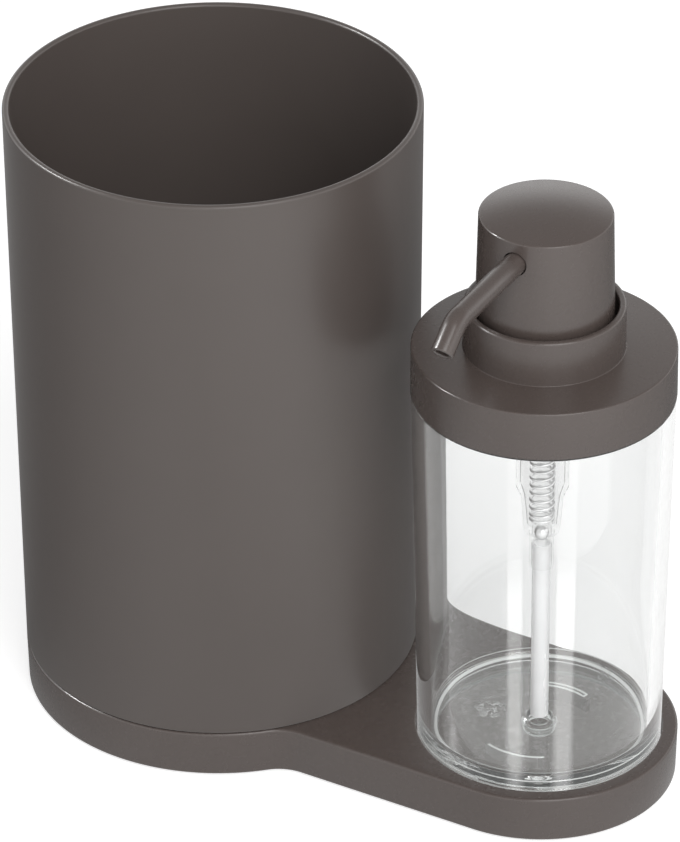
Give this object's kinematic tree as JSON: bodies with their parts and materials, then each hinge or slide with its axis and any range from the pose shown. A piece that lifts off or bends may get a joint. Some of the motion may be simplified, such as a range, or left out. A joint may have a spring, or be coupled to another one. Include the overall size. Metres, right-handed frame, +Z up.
{
  "type": "bathroom organizer",
  "caption": "Long low tray carrying a tall open round cup and a clear pump dispenser with a bent spout, for a washbasin or vanity.",
  "frame": {"origin": "middle of the whole object's box, at the surface that it stands on", "axes": "+X along the tray from the cup's end to the dispenser's end, +Z up, and the spout points to -Y at rest"},
  "size_m": [0.1922, 0.1148, 0.1794],
  "materials": {
    "taupe_plastic": "satin",
    "clear_glass": "clear",
    "milky_plastic": "translucent",
    "grey_rubber": "matte",
    "soft_seal": "satin",
    "steel": "bright"
  },
  "bodies": {
    "tray": {"base_tray": "taupe_plastic", "foot_pad_1": "grey_rubber", "foot_pad_2": "grey_rubber", "foot_pad_3": "grey_rubber", "foot_pad_4": "grey_rubber", "foot_pad_5": "grey_rubber"},
    "cup": {"cup": "taupe_plastic"},
    "bottle": {"bottle": "clear_glass"},
    "lid": {"lid": "taupe_plastic", "lid_seal": "soft_seal", "pump_housing": "milky_plastic", "housing_gasket": "soft_seal", "pump_nut": "taupe_plastic", "chaplet": "milky_plastic", "dip_tube": "milky_plastic", "spring": "steel"},
    "ball": {"inlet_ball": "steel"},
    "piston": {"piston": "milky_plastic"},
    "head": {"stem": "milky_plastic", "valve_plug": "milky_plastic", "actuator_core": "taupe_plastic", "head_shell": "taupe_plastic", "spout": "taupe_plastic"}
  },
  "joints": [
    {"name": "cup_lift", "type": "slide", "parent": "tray", "child": "cup", "axis": [0, 0, 1], "range_m": [0, 0.06]},
    {"name": "bottle_lift", "type": "slide", "parent": "tray", "child": "bottle", "axis": [0, 0, 1], "range_m": [0, 0.06]},
    {"name": "lid_lift", "type": "slide", "parent": "bottle", "child": "lid", "axis": [0, 0, 1], "range_m": [0, 0.12]},
    {"name": "ball_lift", "type": "slide", "parent": "lid", "child": "ball", "axis": [0, 0, 1], "range_m": [0, 0.001]},
    {"name": "pump_press", "type": "slide", "parent": "lid", "child": "piston", "axis": [0, 0, -1], "range_m": [0, 0.012], "stiffness_N_per_m": 800, "springref_m": -0.008, "deforming": ["spring"]},
    {"name": "head_swivel", "type": "hinge", "parent": "piston", "child": "head", "pos_m": [0.05858, 0.00169, 0.15], "axis": [0, 0, 1], "range_deg": [-55, 235]}
  ]
}
